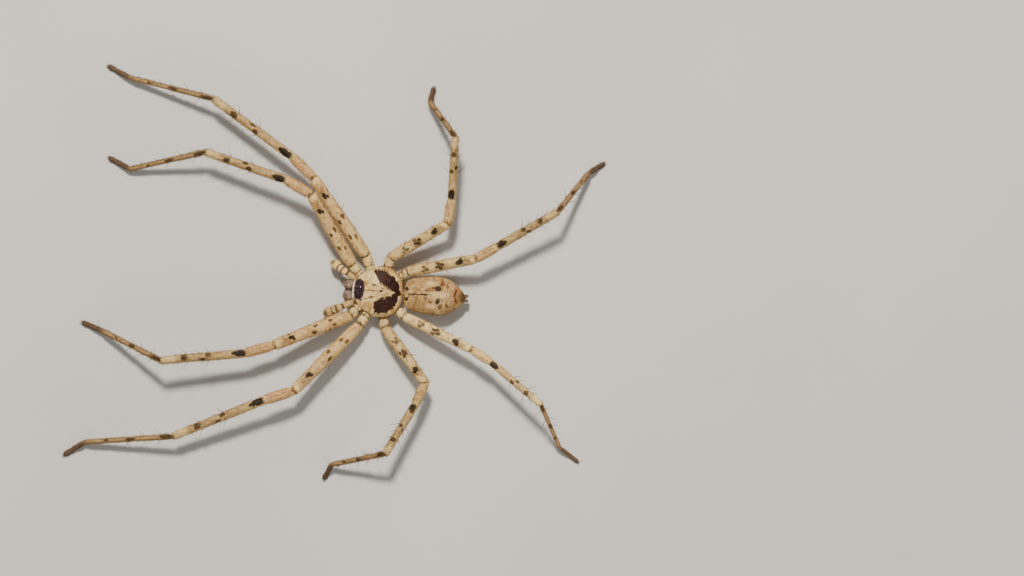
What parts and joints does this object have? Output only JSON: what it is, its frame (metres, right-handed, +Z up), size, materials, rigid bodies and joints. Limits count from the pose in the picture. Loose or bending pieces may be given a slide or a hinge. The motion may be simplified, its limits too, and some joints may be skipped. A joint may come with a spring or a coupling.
{
  "type": "huntsman spider",
  "caption": "Life-size still model of a male huntsman spider resting flat on a floor, its long banded and spined legs spread wide.",
  "frame": {"origin": "middle of the footprint, on the floor that the feet rest on", "axes": "+Z up, the head looks along -Y, +X is the animal's left side"},
  "size_m": [0.071, 0.0919, 0.0091],
  "materials": {
    "carapace": "Satin cream cuticle with dark brown patches, pale hairs and a golden rear margin",
    "abdomen": "Dull tan skin under short flat hairs, with brown spots and a curved band near the tip",
    "leg": "Cream to tan cuticle with dark brown spots and bands, fine hairs and brown spines",
    "foot": "Dull dark grey-brown, thick with short hairs",
    "chelicera": "Dull pinkish brown cuticle with pale hairs",
    "fang": "Glossy near-black horn",
    "eye": "Glossy black lens"
  },
  "bodies": {
    "root": {"abdomen": "abdomen", "chelicera_left": "chelicera", "chelicera_right": "chelicera", "eye_back_middle_left": "eye", "eye_back_middle_right": "eye", "eye_back_side_left": "eye", "eye_back_side_right": "eye", "eye_front_middle_left": "eye", "eye_front_middle_right": "eye", "eye_front_side_left": "eye", "eye_front_side_right": "eye", "fang_left": "fang", "fang_right": "fang", "leg_left_1_femur": "leg", "leg_left_1_hip": "leg", "leg_left_1_metatarsus": "foot", "leg_left_1_shin": "leg", "leg_left_1_tarsus": "foot", "leg_left_2_femur": "leg", "leg_left_2_hip": "leg", "leg_left_2_metatarsus": "foot", "leg_left_2_shin": "leg", "leg_left_2_tarsus": "foot", "leg_left_3_femur": "leg", "leg_left_3_hip": "leg", "leg_left_3_metatarsus": "foot", "leg_left_3_shin": "leg", "leg_left_3_tarsus": "foot", "leg_left_4_femur": "leg", "leg_left_4_hip": "leg", "leg_left_4_metatarsus": "foot", "leg_left_4_shin": "leg", "leg_left_4_tarsus": "foot", "leg_right_1_femur": "leg", "leg_right_1_hip": "leg", "leg_right_1_metatarsus": "foot", "leg_right_1_shin": "leg", "leg_right_1_tarsus": "foot", "leg_right_2_femur": "leg", "leg_right_2_hip": "leg", "leg_right_2_metatarsus": "foot", "leg_right_2_shin": "leg", "leg_right_2_tarsus": "foot", "leg_right_3_femur": "leg", "leg_right_3_hip": "leg", "leg_right_3_metatarsus": "foot", "leg_right_3_shin": "leg", "leg_right_3_tarsus": "foot", "leg_right_4_femur": "leg", "leg_right_4_hip": "leg", "leg_right_4_metatarsus": "foot", "leg_right_4_shin": "leg", "leg_right_4_tarsus": "foot", "palp_left": "leg", "palp_right": "leg", "palp_tip_left": "leg", "palp_tip_right": "leg", "pedicel": "carapace", "prosoma": "carapace", "spinnerets": "abdomen"}
  },
  "joints": []
}
